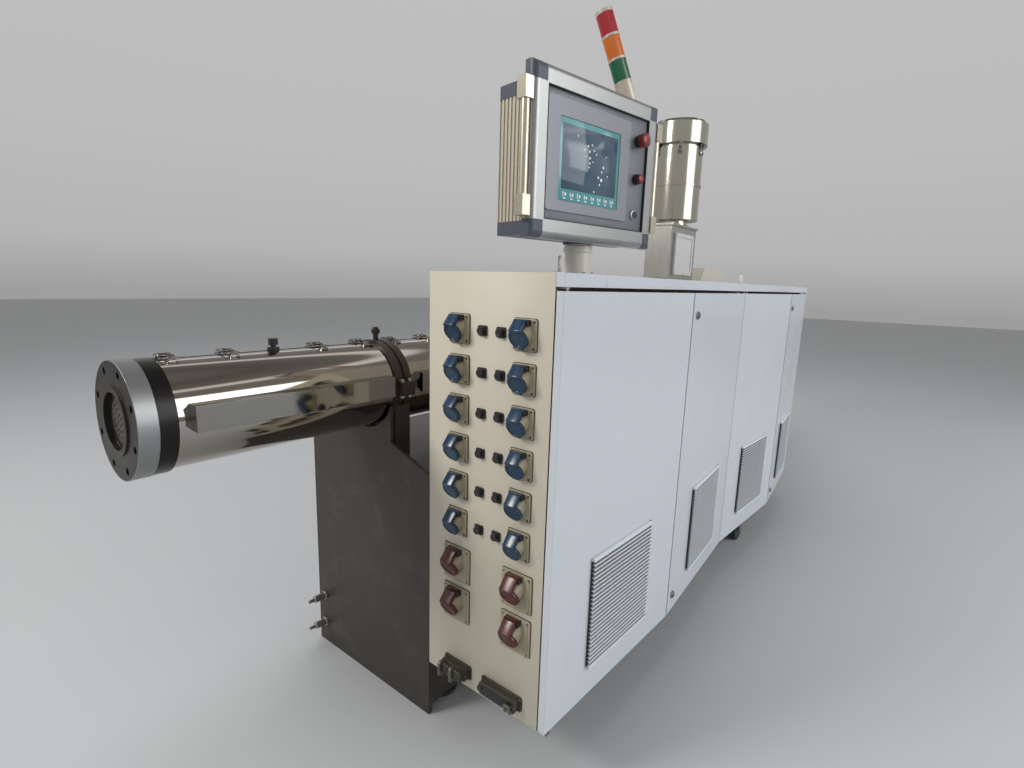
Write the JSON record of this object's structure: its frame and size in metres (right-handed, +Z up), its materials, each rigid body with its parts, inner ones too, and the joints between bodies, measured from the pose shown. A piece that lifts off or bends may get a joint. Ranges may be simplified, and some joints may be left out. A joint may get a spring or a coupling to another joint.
{
  "type": "single-screw plastic extruder",
  "caption": "Single-screw plastic extruder with heated barrel, vacuum loader, side control cabinet with hinged doors and a swivelling operator panel.",
  "frame": {"origin": "on the floor under the screw axis, in the support plate's underside", "axes": "+X along the screw axis from the die to the drive, +Z up, the cabinet doors face -Y"},
  "size_m": [4.767, 1.0577, 2.272],
  "materials": {
    "base_brown": "satin paint, dark brown",
    "barrel_steel": "machined steel",
    "black_steel": "blackened steel",
    "flange_steel": "machined rim, dark face",
    "plate_steel": "dark machined steel",
    "cover_steel": "polished stainless sheet",
    "clamp_brown": "dark painted casting",
    "latch_steel": "stainless toggles",
    "duct_steel": "polished stainless sheet",
    "sensor_black": "black plastic heads",
    "feed_grey": "painted casting",
    "hopper_steel": "stainless sheet",
    "window_white": "white framed panel",
    "loader_steel": "stainless sheet",
    "box_grey": "light grey paint",
    "gearbox_grey": "grey blue machine paint",
    "motor_grey": "grey blue machine paint",
    "cover_cream": "cream powder coat",
    "cabinet_cream": "cream powder coat",
    "panel_cream": "cream powder coat",
    "door_white": "white powder coat",
    "vent_cream": "cream grille",
    "zinc": "zinc plated",
    "outlet_beige": "beige plastic",
    "outlet_blue": "blue plastic",
    "outlet_red": "dark red plastic",
    "socket_black": "black plastic",
    "connector_grey": "grey die-cast hoods",
    "wheel_dark": "dark tread",
    "neck_cream": "cream paint",
    "box_beige": "beige panels",
    "cap_blue": "dark grey-blue plastic",
    "profile_alu": "satin profile",
    "handle_grey": "satin bars",
    "screen_grey": "grey bezel",
    "button_red": "red plastic",
    "lamp_beige": "beige base",
    "lamp_green": "green lens",
    "lamp_amber": "amber lens",
    "lamp_red": "red lens"
  },
  "bodies": {
    "machine": {"base_frame": "base_brown", "support_plate": "base_brown", "barrel_supports": "base_brown", "barrel": "barrel_steel", "barrel_flange": "black_steel", "die_flange": "flange_steel", "breaker_plate": "plate_steel", "heater_covers": "cover_steel", "barrel_clamps": "clamp_brown", "cover_latches": "latch_steel", "wiring_ducts": "duct_steel", "sensor_fittings": "sensor_black", "feed_housing": "feed_grey", "hopper_box": "hopper_steel", "hopper_window": "window_white", "loader_body": "loader_steel", "loader_head": "loader_steel", "loader_clips": "latch_steel", "loader_control_box": "box_grey", "gearbox": "gearbox_grey", "drive_motor": "motor_grey", "drive_cover": "cover_cream", "cabinet_back": "cabinet_cream", "cabinet_rear": "cabinet_cream", "cabinet_floor": "cabinet_cream", "door_post": "cabinet_cream", "door_hinges": "zinc", "front_panel": "panel_cream", "roof": "door_white", "lifting_eyes": "panel_cream", "outlet_bases": "outlet_beige", "blue_lids": "outlet_blue", "red_lids": "outlet_red", "sensor_sockets": "socket_black", "bus_connectors": "connector_grey", "caster_forks": "zinc", "caster_wheels": "wheel_dark", "water_fittings": "zinc", "panel_neck": "neck_cream"},
    "door_leaf_1": {"door_1": "door_white", "vent_1": "vent_cream"},
    "door_leaf_2": {"door_2": "door_white", "vent_2": "vent_cream", "door_2_locks": "zinc"},
    "door_leaf_3": {"door_3": "door_white", "vent_3": "vent_cream"},
    "door_leaf_4": {"door_4": "door_white", "vent_4": "vent_cream", "door_4_locks": "zinc"},
    "operator_panel": {"panel_box": "box_beige", "panel_caps": "cap_blue", "panel_frame": "profile_alu", "panel_handles": "handle_grey", "touch_screen": "screen_grey", "panel_buttons": "button_red", "lamp_base": "lamp_beige", "lamp_green": "lamp_green", "lamp_amber": "lamp_amber", "lamp_red": "lamp_red"}
  },
  "joints": [
    {"name": "door_1_hinge", "type": "hinge", "parent": "machine", "child": "door_leaf_1", "pos_m": [0.017, -0.708, 0.743], "axis": [0, 0, -1], "range_deg": [-3, 97]},
    {"name": "door_2_hinge", "type": "hinge", "parent": "machine", "child": "door_leaf_2", "pos_m": [1.37475, -0.708, 0.743], "axis": [0, 0, 1], "range_deg": [-3, 87]},
    {"name": "door_3_hinge", "type": "hinge", "parent": "machine", "child": "door_leaf_3", "pos_m": [1.41525, -0.708, 0.743], "axis": [0, 0, -1], "range_deg": [-4.5, 85.5]},
    {"name": "door_4_hinge", "type": "hinge", "parent": "machine", "child": "door_leaf_4", "pos_m": [2.673, -0.708, 0.743], "axis": [0, 0, 1], "range_deg": [-4.5, 95.5]},
    {"name": "panel_swivel", "type": "hinge", "parent": "machine", "child": "operator_panel", "pos_m": [0.394, -0.4985, 1.433], "axis": [0, 0, 1], "range_deg": [-90, 90]}
  ]
}
